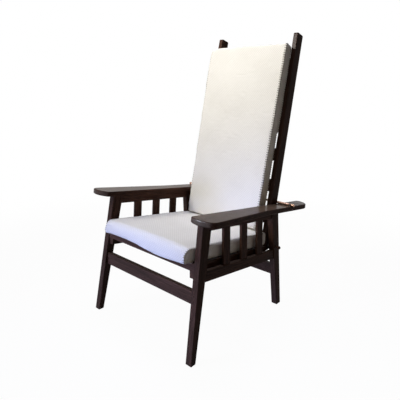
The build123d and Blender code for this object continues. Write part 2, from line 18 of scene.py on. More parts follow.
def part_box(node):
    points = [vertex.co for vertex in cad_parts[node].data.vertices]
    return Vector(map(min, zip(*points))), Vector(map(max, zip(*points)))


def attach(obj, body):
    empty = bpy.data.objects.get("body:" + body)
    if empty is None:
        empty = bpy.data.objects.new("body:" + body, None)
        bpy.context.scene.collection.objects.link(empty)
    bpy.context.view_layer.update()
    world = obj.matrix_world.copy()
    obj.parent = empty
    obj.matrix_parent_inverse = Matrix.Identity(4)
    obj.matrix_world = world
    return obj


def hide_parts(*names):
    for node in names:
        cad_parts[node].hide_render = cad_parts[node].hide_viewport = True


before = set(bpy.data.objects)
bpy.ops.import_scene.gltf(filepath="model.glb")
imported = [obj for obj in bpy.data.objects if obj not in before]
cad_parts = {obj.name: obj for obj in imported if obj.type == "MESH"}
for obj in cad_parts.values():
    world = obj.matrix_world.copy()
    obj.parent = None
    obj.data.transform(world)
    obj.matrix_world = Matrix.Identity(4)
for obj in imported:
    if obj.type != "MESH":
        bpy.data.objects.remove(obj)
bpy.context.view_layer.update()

# %% [markdown]
# Most pieces follow one of three slopes. The seat falls to the rear, the arms and side
# rails fall a little less, and the back leans away from upright. A cushion is easiest to
# model flat, in its own axes, and to turn into place at the end, so each of the two gets
# a matrix here. The extents of a cushion are read along those axes and not the world's.

# %% The seat's own axes and the back's own axes
seat_slope = math.radians(8.0)
back_lean = math.radians(13.0)
arm_slope = math.radians(6.5)


def axes_matrix(across, along, out):
    """A rotation whose columns are a piece's own three axes."""
    return Matrix((across, along, out)).transposed()


across_chair = Vector((1, 0, 0))
down_seat = Vector((0, math.cos(seat_slope), -math.sin(seat_slope)))
off_seat = Vector((0, math.sin(seat_slope), math.cos(seat_slope)))
up_back = Vector((0, math.sin(back_lean), math.cos(back_lean)))
off_back = Vector((0, -math.cos(back_lean), math.sin(back_lean)))
down_arm = Vector((0, math.cos(arm_slope), -math.sin(arm_slope)))
seat_axes = axes_matrix(across_chair, down_seat, off_seat)
back_axes = axes_matrix(across_chair, up_back, off_back)


def extent(node, axes):
    """Lowest and highest values of a node along a piece's own axes."""
    turned = axes.transposed()
    points = [turned @ vertex.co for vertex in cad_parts[node].data.vertices]
    low = Vector(min(point[axis] for point in points) for axis in range(3))
    high = Vector(max(point[axis] for point in points) for axis in range(3))
    return low, high


for cushion_node, cushion_axes in (("seat_cushion", seat_axes), ("back_cushion", back_axes)):
    low, high = extent(cushion_node, cushion_axes)
    print(cushion_node, "length", round(high.y - low.y, 3), "width", round(high.x - low.x, 3))

# %% [markdown]
# The photograph was taken from about a metre up, in front of the chair and to its left,
# with the horizon well above the middle of the picture. The camera's place, its direction
# and a slight roll were worked out from the chair's straight edges. The middle of the lens
# isn't the middle of the picture, which a shift of the camera stands for.

# %% The camera
picture_side = 400
focal_pixels = 394.94
centre_pixels = (204.206, 130.126)
camera_place = Vector((1.20392, -1.44285, 0.98218))
camera_yaw = math.radians(40.646)
camera_pitch = math.radians(4.832)
camera_roll = math.radians(1.480)


def add_object(name, data):
    """An object in the scene that carries a camera, a lamp or a mesh."""
    made = bpy.data.objects.new(name, data)
    bpy.context.scene.collection.objects.link(made)
    return made


def camera_matrix():
    """The camera's place and the directions of its right, its top and its back."""
    forward = Vector((
        -math.sin(camera_yaw) * math.cos(camera_pitch),
        math.cos(camera_yaw) * math.cos(camera_pitch),
        -math.sin(camera_pitch),
    ))
    level = Vector((math.cos(camera_yaw), math.sin(camera_yaw), 0))
    top = level.cross(forward)
    right = level * math.cos(camera_roll) + top * math.sin(camera_roll)
    up = top * math.cos(camera_roll) - level * math.sin(camera_roll)
    turned = axes_matrix(right, up, -forward).to_4x4()
    return Matrix.Translation(camera_place) @ turned


camera_data = bpy.data.cameras.new("camera")
camera_data.lens = focal_pixels * camera_data.sensor_width / picture_side
camera_data.shift_x = (picture_side / 2 - centre_pixels[0]) / picture_side
camera_data.shift_y = (centre_pixels[1] - picture_side / 2) / picture_side
camera = add_object("camera", camera_data)
camera.matrix_world = camera_matrix()
bpy.context.scene.camera = camera
bpy.context.scene.view_settings.view_transform = "Standard"
print("lens", round(camera_data.lens, 2), "mm")

# %% [markdown]
# A shader is a sum: so much of one noise, less some of another. Written as a web of
# nodes by hand it is hard to read, so a shader socket is wrapped in a small class that
# knows how to add, take away and multiply. Any other node comes from one method that
# takes its type, its settings and its inputs.

# %% Shader sums and nodes


class Term:
    """A shader socket that can stand in a Python sum."""

    def __init__(self, finish, socket):
        self.finish = finish
        self.socket = socket

    def __add__(self, other):
        return self.finish.maths("ADD", self, other)

    def __radd__(self, other):
        return self.finish.maths("ADD", other, self)

    def __sub__(self, other):
        return self.finish.maths("SUBTRACT", self, other)

    def __rsub__(self, other):
        return self.finish.maths("SUBTRACT", other, self)

    def __mul__(self, other):
        return self.finish.maths("MULTIPLY", self, other)

    def __rmul__(self, other):
        return self.finish.maths("MULTIPLY", other, self)


class Finish:
    """A tree of shader nodes that is built one call at a time."""

    def __init__(self, tree):
        self.tree = tree
        self.tree.nodes.clear()

    def node(self, kind, settings=None, inputs=None, output=None):
        """Add a node, set it up, feed its sockets and return one of its outputs."""
        made = self.tree.nodes.new("ShaderNode" + kind)
        for name, value in (settings or {}).items():
            if name == "stops":
                self.set_stops(made.color_ramp, value)
            else:
                setattr(made, name, value)
        for name, value in (inputs or {}).items():
            self.feed(self.pick(made.inputs, name), value)
        if not made.outputs:
            return made
        return Term(self, self.pick(made.outputs, output))

    def pick(self, sockets, name):
        """A socket by its number, by its name, or the first one in use."""
        if isinstance(name, int):
            return sockets[name]
        usable = [socket for socket in sockets if socket.enabled]
        return next(socket for socket in usable if name in (None, socket.name))

    def feed(self, socket, value):
        """Link a socket to a term, or set it to a number, a colour or a vector."""
        if isinstance(value, Term):
            self.tree.links.new(value.socket, socket)
        else:
            socket.default_value = value

    def set_stops(self, ramp, stops):
        """Give a colour ramp its stops, as (place, colour) pairs."""
        while len(ramp.elements) < len(stops):
            ramp.elements.new(1)
        for element, (place, colour) in zip(ramp.elements, stops):
            element.position = place
            element.color = (*colour, 1)

    def maths(self, operation, *values):
        """A number worked out from others."""
        return self.node("Math", {"operation": operation}, dict(enumerate(values)))

    def vector(self, operation, *values, output=None):
        """A vector worked out from others, or one number if the output is Value."""
        settings = {"operation": operation}
        return self.node("VectorMath", settings, dict(enumerate(values)), output)

    def part(self, vector, axis):
        """One of a vector's three numbers."""
        return self.node("SeparateXYZ", None, {"Vector": vector}, axis)

    def place(self):
        """The point that is being shaded, as its object sees it."""
        return self.node("TexCoord", output="Object")

    def turned(self, vector, turn, kind="POINT"):
        """A place, or a normal, turned by three angles."""
        return self.node("Mapping", {"vector_type": kind}, {"Vector": vector, "Rotation": turn})

    def bump(self, height, strength, depth, **more):
        """A normal tilted by a height, where a height of 1 stands for a depth in metres."""
        inputs = {"Strength": strength, "Distance": depth, "Height": height}
        return self.node("Bump", None, {**inputs, **more})

    def blend(self, share, first, second):
        """Mix two colours; a share of 0 gives the first."""
        colours = {"Factor": share, "A": opaque(first), "B": opaque(second)}
        return self.node("Mix", {"data_type": "RGBA"}, colours)

    def step(self, value, start, end, low=0.0, high=1.0):
        """Ease from low to high while a value goes from start to end."""
        inputs = {"Value": value, "From Min": start, "From Max": end}
        inputs.update({"To Min": low, "To Max": high})
        return self.node("MapRange", {"interpolation_type": "SMOOTHSTEP"}, inputs)

    def cloud(self, place, scale, detail=2.0, roughness=0.5, distortion=0.0):
        """Soft noise between 0 and 1."""
        inputs = {"Vector": place, "Scale": scale, "Detail": detail}
        inputs.update({"Roughness": roughness, "Distortion": distortion})
        return self.node("TexNoise", None, inputs)

    def ramp(self, value, stops):
        """A colour for a value, from (place, colour) stops."""
        return self.node("ValToRGB", {"stops": stops}, {"Fac": value})


def opaque(colour):
    """A plain colour as the four numbers that a socket wants; a term stays a term."""
    return colour if isinstance(colour, Term) else (*colour, 1)


def new_finish(title):
    """An empty material and the tree that it is built in."""
    material = bpy.data.materials.new(title)
    material.use_nodes = True
    return material, Finish(material.node_tree)


def surface(finish, inputs):
    """End a material's tree in one Principled shader."""
    shader = finish.node("BsdfPrincipled", None, inputs)
    finish.node("OutputMaterial", None, {"Surface": shader})


# %% [markdown]
# The chair is shown on white, as in a shop's picture. The floor and the world are white
# only where the camera or a reflection looks at them, which a shader can ask of each ray.
# The light that the world gives is much softer: brighter and cool from the picture's
# left, dim and warm from the other side. The floor still takes the chair's shadow, and
# eases to pure white further off.

# %% The floor and the world
white = (1.0, 1.0, 1.0)
floor_half = 14.0
floor_glow_share = 0.965
floor_colour = (0.50, 0.50, 0.52)
floor_shadow_reach = (1.1, 2.4)
world_bright_way = Vector((-0.74, -0.48, 0.48)).normalized()
world_bright_span = (-0.25, 0.90)
world_dim = 0.03
world_bright = 0.42
world_cool = (0.95, 0.97, 1.0)
world_warm = (1.0, 0.80, 0.58)


def looked_at(finish):
    """1 for a ray from the camera, from a reflection or through glass, and otherwise 0."""
    rays = "Is Camera Ray", "Is Glossy Ray", "Is Transmission Ray"
    camera_ray, glossy_ray, clear_ray = (finish.node("LightPath", output=ray) for ray in rays)
    return finish.maths("MINIMUM", camera_ray + glossy_ray + clear_ray, 1.0)


def make_floor():
    """A wide flat floor, white to the camera, that keeps the chair's shadow."""
    mesh = bpy.data.meshes.new("floor")
    corners = [(-floor_half, -floor_half), (floor_half, -floor_half)]
    corners += [(floor_half, floor_half), (-floor_half, floor_half)]
    mesh.from_pydata([(x, y, 0) for x, y in corners], [], [(0, 1, 2, 3)])
    floor = add_object("floor", mesh)
    material, finish = new_finish("floor_white")
    seen = looked_at(finish)
    colour = finish.blend(seen, floor_colour, white)
    matt = finish.node("BsdfDiffuse", None, {"Color": colour})
    glow = finish.node("Emission", None, {"Color": opaque(white), "Strength": 1.0})
    distance = finish.vector("LENGTH", finish.place(), output="Value")
    share = finish.step(distance, *floor_shadow_reach, floor_glow_share, 1.0)
    mixed = finish.node("MixShader", None, {0: seen * share, 1: matt, 2: glow})
    finish.node("OutputMaterial", None, {"Surface": mixed})
    mesh.materials.append(material)


def make_world():
    """White where it is looked at, and a soft light from the picture's left otherwise."""
    world = bpy.data.worlds.new("studio")
    bpy.context.scene.world = world
    world.use_nodes = True
    finish = Finish(world.node_tree)
    seen = looked_at(finish)
    way = finish.node("TexCoord", output="Generated")
    facing = finish.vector("DOT_PRODUCT", way, tuple(world_bright_way), output="Value")
    bright = finish.step(facing, *world_bright_span)
    room = world_dim + bright * (world_bright - world_dim)
    strength = seen + (1 - seen) * room
    colour = finish.blend(seen, finish.blend(bright, world_warm, world_cool), white)
    shader = finish.node("Background", None, {"Color": colour, "Strength": strength})
    finish.node("OutputWorld", None, {"Surface": shader})


make_floor()
make_world()
print("floor", 2 * floor_half, "m wide, world from", world_dim, "to", world_bright)

# %% [markdown]
# Five lamps light the chair. The main one is as big as a window and stands high up on the
# picture's left. A cool one low in front and another above the chair stand for the sky,
# and the low one is left out of reflections. A very weak warm one is the room's own glow
# on the chair's near flank, which lies in shade in the photograph. The last is tiny and
# seen only in reflections: it puts the shine on the near arm's nose. The spread of a lamp
# is in degrees and its power in watts.

# %% The lamps
above_chair = (0, 0.30, 1.55)
seat_front = (0.10, -0.40, 0.12)
seat_middle = (0, -0.12, 0.45)
near_flank = (0.3, 0, 0.45)
near_nose = (0.33, -0.50, 0.54)
lamp_plans = {
    "window": {
        "place": (-1.75, -2.35, 2.95),
        "aim": above_chair,
        "size": 1.2,
        "spread": 50.0,
        "power": 13.8,
        "colour": (1.0, 0.982, 0.930),
    },
    "low_sky": {
        "place": (-0.8, -2.0, 0.30),
        "aim": seat_front,
        "size": 0.8,
        "spread": 34.0,
        "power": 3.0,
        "colour": (0.38, 0.48, 1.0),
    },
    "high_sky": {
        "place": (-0.3, 0.30, 3.2),
        "aim": seat_middle,
        "size": 1.2,
        "spread": 50.0,
        "power": 3.9,
        "colour": (0.74, 0.78, 1.0),
    },
    "room": {
        "place": (2.3, -0.5, 0.55),
        "aim": near_flank,
        "size": 1.5,
        "spread": 60.0,
        "power": 0.22,
        "colour": (1.0, 0.75, 0.43),
    },
    "glint": {
        "place": (-1.52, -1.97, 1.62),
        "aim": near_nose,
        "size": 0.10,
        "spread": 6.0,
        "power": 34.0,
        "colour": (0.76, 0.85, 1.0),
    },
}


def make_lamp(name, place, aim, size, spread, power, colour):
    """A soft square lamp at a place, pointing at another."""
    data = bpy.data.lights.new(name, "AREA")
    data.size = size
    data.spread = math.radians(spread)
    data.energy = power
    data.color = colour
    lamp = add_object(name, data)
    lamp.visible_camera = False
    lamp.location = place
    lamp.rotation_mode = "QUATERNION"
    lamp.rotation_quaternion = (Vector(aim) - Vector(place)).to_track_quat("-Z", "Y")
    return lamp


lamps = {name: make_lamp(name, **plan) for name, plan in lamp_plans.items()}
lamps["low_sky"].visible_glossy = False
lamps["glint"].visible_diffuse = False
print("lamps", list(lamps))

# %% [markdown]
# The wood is a close-grained timber stained almost black-brown and varnished to a soft
# shine. Its colour is three noises, all stretched along the board: broad figure, fine
# grain and short dark pores. Edges that hands and floors have rubbed show the paler wood
# under the stain. A bevelled normal that differs from the true one finds those edges on
# any mesh, so no edge has to be marked. Faces that look up are painted paler and greyer,
# partly as fading and partly as a painted sheen. Faces that look forward are painted a
# little lighter, as painted light from the front. One function makes a finish for each
# direction in which a board's grain runs.

# %% The stained wood
grain_stretch = (0.035, 1.0, 1.0)
figure_stretch = (0.16, 1.0, 1.0)
pore_stretch = (0.022, 1.0, 1.0)
grain_scale = 210.0
figure_scale = 11.0
pore_scale = 800.0
wear_radius = 0.0035
stain_stops = (
    (0.26, (0.0135, 0.0071, 0.0052)),
    (0.46, (0.0390, 0.0194, 0.0139)),
    (0.62, (0.0820, 0.0405, 0.0284)),
    (0.80, (0.1560, 0.0755, 0.0535)),
)
pore_colour = (0.0050, 0.0028, 0.0024)
# Paler wood for rubbed edges; faces that look forward are also painted towards it as painted
# light.
rubbed_and_front_lit_colour = (0.150, 0.088, 0.062)
# Faces that look up are painted towards this colour: partly fading, partly a painted sheen.
faded_sheen_colour = (0.140, 0.102, 0.074)
board_shift = 9.0
figure_share = 0.42
grain_share = 0.58
board_difference = 0.06
pore_darkness = 0.7
# Painted light: how far faces that look forward are painted towards the paler colour.
front_painted_light = 0.08
# Painted sheen with fading: how far faces that look up are painted paler, more in patches.
top_fade_and_sheen = 0.30
patchy_fade_and_sheen = 0.35
edge_rubbing = 0.55
all_over_coat = 0.04
grain_depth = 0.0004


def turn_to_grain(grain):
    """The turn, as three angles, that brings a board's grain direction onto X."""
    return Vector(grain).normalized().rotation_difference(Vector((1, 0, 0))).to_euler("XYZ")


def wood_finish(title, grain, wear_and_sheen=1.0, top_polish=0.10, front_polish=0.10, rounding=0.002):
    """Stained wood whose grain runs one way, with a shine and painted light in front and on
    top.
    """
    material, finish = new_finish(title)
    place = finish.place()
    chance = finish.node("ObjectInfo", output="Random")
    shifted = finish.vector("ADD", place, chance * board_shift)
    board = finish.turned(shifted, turn_to_grain(grain))
    figure = finish.cloud(
        finish.vector("MULTIPLY", board, figure_stretch), figure_scale, 3.0, 0.5, 0.6
    )
    streaks = finish.cloud(
        finish.vector("MULTIPLY", board, grain_stretch), grain_scale, 5.0, 0.62, 0.3
    )
    pores = finish.cloud(
        finish.vector("MULTIPLY", board, pore_stretch), pore_scale, 1.0, 0.4
    )
    pore_mask = finish.step(pores, 0.60, 0.72)
    tone = figure * figure_share + streaks * grain_share + (chance - 0.5) * board_difference
    plain = finish.ramp(tone, stain_stops)
    stained = finish.blend(pore_mask * pore_darkness, plain, pore_colour)
    worn = edge_mask(finish, place)
    facing = finish.node("TexCoord", output="Normal")
    top_face = finish.step(finish.part(facing, "Z"), 0.80, 0.97)
    front_face = finish.step(0 - finish.part(facing, "Y"), 0.75, 0.95)
    # Painted light: faces that look forward are painted a little lighter.
    stained_and_front_lit = finish.blend(front_face * front_painted_light, stained, rubbed_and_front_lit_colour)
    # Painted sheen, with some fading: faces that look up are painted paler and greyer.
    top_fade_and_sheen_share = top_face * (top_fade_and_sheen + figure * patchy_fade_and_sheen) * wear_and_sheen
    with_fade_and_sheen = finish.blend(top_fade_and_sheen_share, stained_and_front_lit, faded_sheen_colour)
    colour = finish.blend(worn * edge_rubbing * wear_and_sheen, with_fade_and_sheen, rubbed_and_front_lit_colour)
    haze = finish.cloud(place, 26.0, 3.0, 0.6)
    height = streaks * 0.5 - pore_mask * 0.8
    rounded = finish.node("Bevel", {"samples": 8}, {"Radius": rounding}, "Normal")
    normal = finish.bump(height, 0.30, grain_depth, Normal=rounded)
    surface(finish, {
        "Base Color": colour,
        "Roughness": 0.30 + haze * 0.22 + worn * 0.12,
        "Specular IOR Level": 0.003,
        "Coat Weight": all_over_coat + top_face * top_polish + front_face * front_polish,
        "Coat Roughness": 0.12,
        "Coat Normal": rounded,
        "Normal": normal,
    })
    return material


def edge_mask(finish, place):
    """Near 1 along rubbed edges, broken up so that the wear isn't even."""
    bevelled = finish.node("Bevel", {"samples": 6}, {"Radius": wear_radius}, "Normal")
    true_normal = finish.node("NewGeometry", output="Normal")
    same = finish.vector("DOT_PRODUCT", bevelled, true_normal, output="Value")
    edge = finish.step(1 - same, 0.01, 0.12)
    patches = finish.step(finish.cloud(place, 34.0, 4.0, 0.65), 0.36, 0.66)
    return edge * patches


# %% [markdown]
# Each wooden piece gets the finish whose grain runs along it, found by the start of the
# piece's name. The arms have the strongest polish, and a bevel modifier turns their small
# chamfers into full rounds. On every other piece a sharp-edge angle keeps the flat faces
# flat while its rounded edges shade smoothly.

# %% Dressing the wooden pieces
smooth_angle = math.radians(32)
arm_rounding = 0.0016
leg_lean = 0.18
wood_grains = {
    "front_leg": (0, leg_lean, 1),
    "back_leg": (0, -leg_lean / 2, 1),
    "side_slat": (0, 0, 1),
    "arm": tuple(down_arm),
    "lower_side_rail": tuple(down_arm),
    "upper_side_rail": tuple(down_arm),
    "seat_bearer": tuple(down_seat),
    "seat_side_rail": tuple(down_seat),
    "front_stretcher": tuple(across_chair),
    "rear_rail": tuple(across_chair),
    "seat_front_rail": tuple(across_chair),
    "seat_rear_rail": tuple(across_chair),
    "back_slat": tuple(across_chair),
    "back_stile": tuple(up_back),
    "stretcher_peg": (0, 1, 0),
}
own_polishes = {
    "arm": {"top_polish": 0.26, "front_polish": 0.38, "rounding": 0.0045},
    "back_stile": {"front_polish": 0.03},
}


def dress(node, material):
    """Give a CAD node one finish and smooth its rounded edges."""
    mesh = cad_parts[node].data
    mesh.materials.clear()
    mesh.materials.append(material)
    mesh.shade_smooth()
    if node.startswith("arm"):
        round_edges(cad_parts[node])
    else:
        mesh.set_sharp_from_angle(angle=smooth_angle)


def round_edges(piece):
    """Turn an arm's chamfers into full rounds, with the flat faces kept flat."""
    bevel = piece.modifiers.new("rounding", "BEVEL")
    bevel.limit_method = "ANGLE"
    bevel.angle_limit = smooth_angle
    bevel.width = arm_rounding
    bevel.segments = 3
    bevel.harden_normals = True


for start, grain in wood_grains.items():
    wood = wood_finish("wood_" + start, grain, **own_polishes.get(start, {}))
    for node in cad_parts:
        if node.startswith(start):
            dress(node, wood)
print("wood finishes", len(wood_grains))

# %% [markdown]
# Under the seat cushion lies black webbing: flat straps woven in narrow ribs. They are
# dark and mostly hidden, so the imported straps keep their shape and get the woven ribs
# from a wave in the bump and a little dust in the colour.

# %% The webbing
rib_spacing = 0.0028
rib_depth = 0.0006
webbing_colours = ((0.0075, 0.0075, 0.0085), (0.021, 0.021, 0.023))


def webbing_finish():
    """Black woven straps with ribs across the chair."""
    material, finish = new_finish("webbing_black")
    place = finish.place()
    across, along = (finish.part(place, axis) * (2 * math.pi / rib_spacing) for axis in "XY")
    ribs = finish.maths("SINE", across) * finish.maths("SINE", along)
    dust = finish.cloud(place, 60.0, 4.0, 0.6)
    colour = finish.blend(dust, *webbing_colours)
    height = ribs * 0.5 + dust * 0.3
    surface(finish, {
        "Base Color": colour,
        "Roughness": 0.7 + dust * 0.2,
        "Specular IOR Level": 0.2,
        "Normal": finish.bump(height, 0.6, rib_depth),
    })
    return material


webbing = webbing_finish()
straps = [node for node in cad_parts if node.startswith("seat_strap")]
for strap in straps:
    dress(strap, webbing)
print("straps", len(straps))

# %% [markdown]
# The covers are a cream cloth in a basket weave, several threads going over and under
# together. Two sine waves at the pattern's spacing, multiplied, give the over and under
# of the weave. Each face of a cushion needs them along its own two directions, so the
# surface's direction chooses the pair. Slubs, the thicker stretches of thread, are noise
# stretched along each of the three axes. A large soft noise yellows and greys the cloth a
# little, as handling does.

# %% The cream cloth
weave_spacing = 0.0115
weave_depth = 0.0009
slub_scale = 290.0
handled_scale = 5.0
soil_all_over = 0.20
soil_in_patches = 0.40
soil_on_slubs = 0.25
soil_in_weave = 0.62
cloth_clean = (0.860, 0.832, 0.770)
cloth_handled = (0.740, 0.710, 0.645)
slub_stretches = ((0.45, 1.0, 1.0), (1.0, 0.45, 1.0), (1.0, 1.0, 0.45))


def cloth_finish(title, axes):
    """Cream woven cloth whose threads follow a cushion's own axes."""
    material, finish = new_finish(title)
    turn = axes.transposed().to_euler("XYZ")
    place = finish.turned(finish.place(), turn)
    facing = finish.turned(finish.node("TexCoord", output="Normal"), turn, "NORMAL")
    waves = []
    faces = []
    for axis in "XYZ":
        turns = finish.part(place, axis) * (2 * math.pi / weave_spacing)
        waves.append(finish.maths("SINE", turns))
        side = finish.maths("ABSOLUTE", finish.part(facing, axis))
        faces.append(finish.step(side, 0.5, 0.75))
    weave = faces[0] * waves[1] * waves[2]
    weave = weave + faces[1] * waves[0] * waves[2] + faces[2] * waves[0] * waves[1]
    slubs = 0.0
    for stretch in slub_stretches:
        stretched = finish.vector("MULTIPLY", place, stretch)
        cloud = finish.cloud(stretched, slub_scale, 3.0, 0.6)
        slubs = slubs + cloud * (1 / len(slub_stretches))
    slub_mask = finish.step(slubs, 0.46, 0.60)
    handled = finish.step(finish.cloud(place, handled_scale, 4.0, 0.55), 0.38, 0.70)
    soil = soil_all_over + handled * soil_in_patches
    soil = soil + slub_mask * soil_on_slubs + weave * soil_in_weave
    colour = finish.blend(soil, cloth_clean, cloth_handled)
    height = weave * 0.40 + slubs * 1.1
    surface(finish, {
        "Base Color": colour,
        "Roughness": 0.86 + slub_mask * 0.08,
        "Specular IOR Level": 0.18,
        "Sheen Weight": 0.12,
        "Sheen Roughness": 0.5,
        "Normal": finish.bump(height, 0.6, weave_depth),
    })
    return material


seat_cloth = cloth_finish("cloth_seat", seat_axes)
back_cloth = cloth_finish("cloth_back", back_axes)
print("weave repeats every", weave_spacing * 1000, "mm")

# %% [markdown]
# A cushion here is a foam box in a cover of three parts: one long panel that goes over
# the top and round the front and rear, and two side panels sewn to its edges. Seen from
# the side, the foam is a rectangle with a different rounding at each corner. Its outline
# is swept across the chair, with a crown that swells the top in the middle and sides
# that draw in between the corners, as the tight cover pulls them.

# %% The foam's outline
low_corner_steps = 5
high_corner_steps = 6


def corner_arc(corner, radius, first_angle, count):
    """Points of a rounded corner, in order round the outline."""
    centre = Vector(corner)
    angles = [first_angle + math.pi / 2 * step / count for step in range(count + 1)]
    return [centre + radius * Vector((math.cos(a), math.sin(a))) for a in angles]


def spaced(points, spacing):
    """The same closed outline with points added along its long sides."""
    filled = []
    for first, second in zip(points, points[1:] + points[:1]):
        count = max(1, round((second - first).length / spacing))
        filled += [first.lerp(second, step / count) for step in range(count)]
    return filled


def foam_outline(length, front_height, rear_height, radii, spacing):
    """The foam seen from the side, as (along, out) points that start low in front."""
    low_front, low_rear, high_rear, high_front = radii
    quarter = math.pi / 2
    points = corner_arc((low_front, low_front), low_front, 2 * quarter, low_corner_steps)
    centre = (length - low_rear, low_rear)
    points += corner_arc(centre, low_rear, 3 * quarter, low_corner_steps)
    centre = (length - high_rear, rear_height - high_rear)
    points += corner_arc(centre, high_rear, 0, high_corner_steps)
    centre = (high_front, front_height - high_front)
    points += corner_arc(centre, high_front, quarter, high_corner_steps)
    return spaced(points, spacing)


print("a corner has", low_corner_steps, "or", high_corner_steps, "steps")

# %% [markdown]
# What a tight cover does to that box is written as a few sums on shares of its length,
# width and height. A high power of a share is nearly 0 until close to an end, so it bends
# a corner and leaves the rest alone. That gives the pinched corners, the ears at the
# back cushion's top, its flare and the seat cushion's drooping front.

# %% A cushion's own shape
corner_power = 14
crown_power = 0.62
crown_rim_share = 0.12
crown_middle_share = 0.88
droop_power = 24
ear_width_power = 20
ear_length_power = 30
ear_height_power = 2
bulge_power = 0.3
side_panel_power = 8


class Cushion:
    """The sizes of one cushion and the way from its plain box to its real shape."""

    def __init__(self, name, axes, origin, length, half_width, heights, radii, crown):
        self.name = name
        self.axes = axes
        self.origin = origin
        self.length = length
        self.half_width = half_width
        self.heights = heights
        self.radii = radii
        self.crown = crown
        self.flares = (0.0, 0.0)
        self.side_draw = 0.0045
        self.corner_draws = (0.006, 0.006)
        self.side_bulge = 0.003
        self.ears = (0.0, 0.0)
        self.droop = 0.0
        self.sway = 0.0
        self.stitch_radii = (0.0008, 0.0008)
        self.stitch_reach = 0.0036
        self.stitch_spacing = 0.0065

    def place(self, point):
        """A point of the flat cushion, in the chair's frame."""
        return self.axes @ (Vector(point) + self.origin)

    def bow(self, share):
        """0 at both ends of a length and 1 in its middle."""
        return 1 - (2 * share - 1) ** 2

    def shaped(self, across, along, out):
        """Where a point of the plain box goes: across is from -1 to 1."""
        along_share = min(max(along / self.length, 0), 1)
        height = self.heights[0] + (self.heights[1] - self.heights[0]) * along_share
        out_share = min(max(out / height, 0), 1)
        across_share = (across + 1) / 2
        half = self.half_width - self.side_draw * self.bow(along_share)
        draw = self.corner_draws[0] if along_share < 0.5 else self.corner_draws[1]
        half = half - draw * abs(2 * along_share - 1) ** corner_power
        full = crown_rim_share + crown_middle_share * self.bow(along_share) ** crown_power
        full = self.bow(across_share) ** crown_power * full
        rise = self.crown * full * out_share
        drop = self.droop - self.sway * math.sin(2 * math.pi * across_share)
        drop = drop * (1 - along_share) ** droop_power * (1 - out_share)
        near, far = (flare * along_share for flare in self.flares)
        ear = self.ears[0] if across > 0 else self.ears[1]
        ear = ear * abs(across) ** ear_width_power * along_share ** ear_length_power
        ear = ear * out_share ** ear_height_power
        half = half + ear + (near + far) / 2
        return Vector((across * half + (near - far) / 2, along + ear, out + rise - drop))

    def filled(self, point):
        """A point of the shell, moved out if it lies on one of the side panels."""
        across, along, out = point
        along_share = min(max(along / self.length, 0), 1)
        out_share = min(max(out / self.heights[1], 0), 1)
        bulge = self.side_bulge * self.bow(out_share) * self.bow(along_share) ** bulge_power
        share = (abs(across) / self.half_width) ** side_panel_power
        return Vector((across + math.copysign(bulge * share, across), along, out))


# %% [markdown]
# The two cushions take their length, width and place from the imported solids. Heights,
# radii and the small moves of the cover were read from the photograph. With a cushion
# lying flat, its radii go round the side: low front, low rear, high rear, high front. A
# pair of sizes is for the near and the far side, or for the front and the rear end. The
# back cushion's front end is its foot.

# %% The two cushions
seat_low, seat_high = extent("seat_cushion", seat_axes)
back_low, back_high = extent("back_cushion", back_axes)
seat_half = (seat_high.x - seat_low.x) / 2
back_flares = (0.010, 0.032)
back_tuck = 0.0045
back_half = (back_high.x - back_low.x - back_flares[1]) / 2
seat_foam = Cushion(
    name="seat_cushion_cover",
    axes=seat_axes,
    origin=Vector((seat_high.x - seat_half, seat_low.y, seat_low.z)),
    length=seat_high.y - seat_low.y,
    half_width=seat_half,
    heights=(0.055, 0.060),
    radii=(0.010, 0.014, 0.016, 0.030),
    crown=0.016,
)
seat_foam.corner_draws = (0.009, 0.001)
seat_foam.droop = 0.004
seat_foam.sway = 0.008
back_foam = Cushion(
    name="back_cushion_cover",
    axes=back_axes,
    origin=Vector((back_high.x - back_half, back_low.y - back_tuck, back_low.z)),
    length=back_high.y - back_low.y + back_tuck,
    half_width=back_half,
    heights=(0.059, 0.059),
    radii=(0.010, 0.008, 0.007, 0.006),
    crown=0.008,
)
back_foam.flares = back_flares
back_foam.side_draw = 0.001
back_foam.side_bulge = 0.005
back_foam.corner_draws = (0.005, 0.005)
back_foam.ears = (0.006, -0.008)
back_foam.stitch_radii = (0.0014, 0.0005)
back_foam.stitch_reach = 0.0048
back_foam.stitch_spacing = 0.0102
for foam in (seat_foam, back_foam):
    print(foam.name, "length", round(foam.length, 3), "half width", round(foam.half_width, 3))

# %% [markdown]
# The swept box becomes cloth in two moves. A voxel remesh turns it into even small
# squares, which cloth needs. Then a short cloth simulation with pressure inside lets the
# cover swell and find its own tension, while the sewn edges are held and the rest is
# held softly, as foam holds it. How far a point may move is capped, so that the cushion
# keeps its size.

# %% Cloth over foam
shell_spacing = 0.016
voxel_size = 0.0065
seam_step = 0.0028
seam_reach = 0.009
foam_hold = 0.32
swell_cap = 0.010
swell_frames = 16
calm_rounds = 2


def shell_mesh(foam):
    """The plain closed shell of a cushion, still flat on its own axes."""
    outline = foam_outline(foam.length, *foam.heights, foam.radii, shell_spacing)
    count = round(2 * foam.half_width / shell_spacing)
    made = bmesh.new()
    rings = []
    for step in range(count + 1):
        across = 2 * step / count - 1
        ring = [made.verts.new(foam.shaped(across, *point)) for point in outline]
        rings.append(ring)
    for first, second in zip(rings, rings[1:]):
        for index in range(len(outline)):
            following = (index + 1) % len(outline)
            made.faces.new((first[index], second[index], second[following], first[following]))
    made.faces.new(rings[0])
    made.faces.new(reversed(rings[-1]))
    bmesh.ops.triangulate(made, faces=[f for f in made.faces if len(f.verts) > 4])
    bmesh.ops.recalc_face_normals(made, faces=made.faces)
    mesh = bpy.data.meshes.new(foam.name)
    made.to_mesh(mesh)
    made.free()
    return mesh


def seam_points(foam, side):
    """The sewn edge round one side panel, in the cushion's own axes."""
    outline = foam_outline(foam.length, *foam.heights, foam.radii, seam_step)
    return [foam.shaped(side, *point) for point in outline]


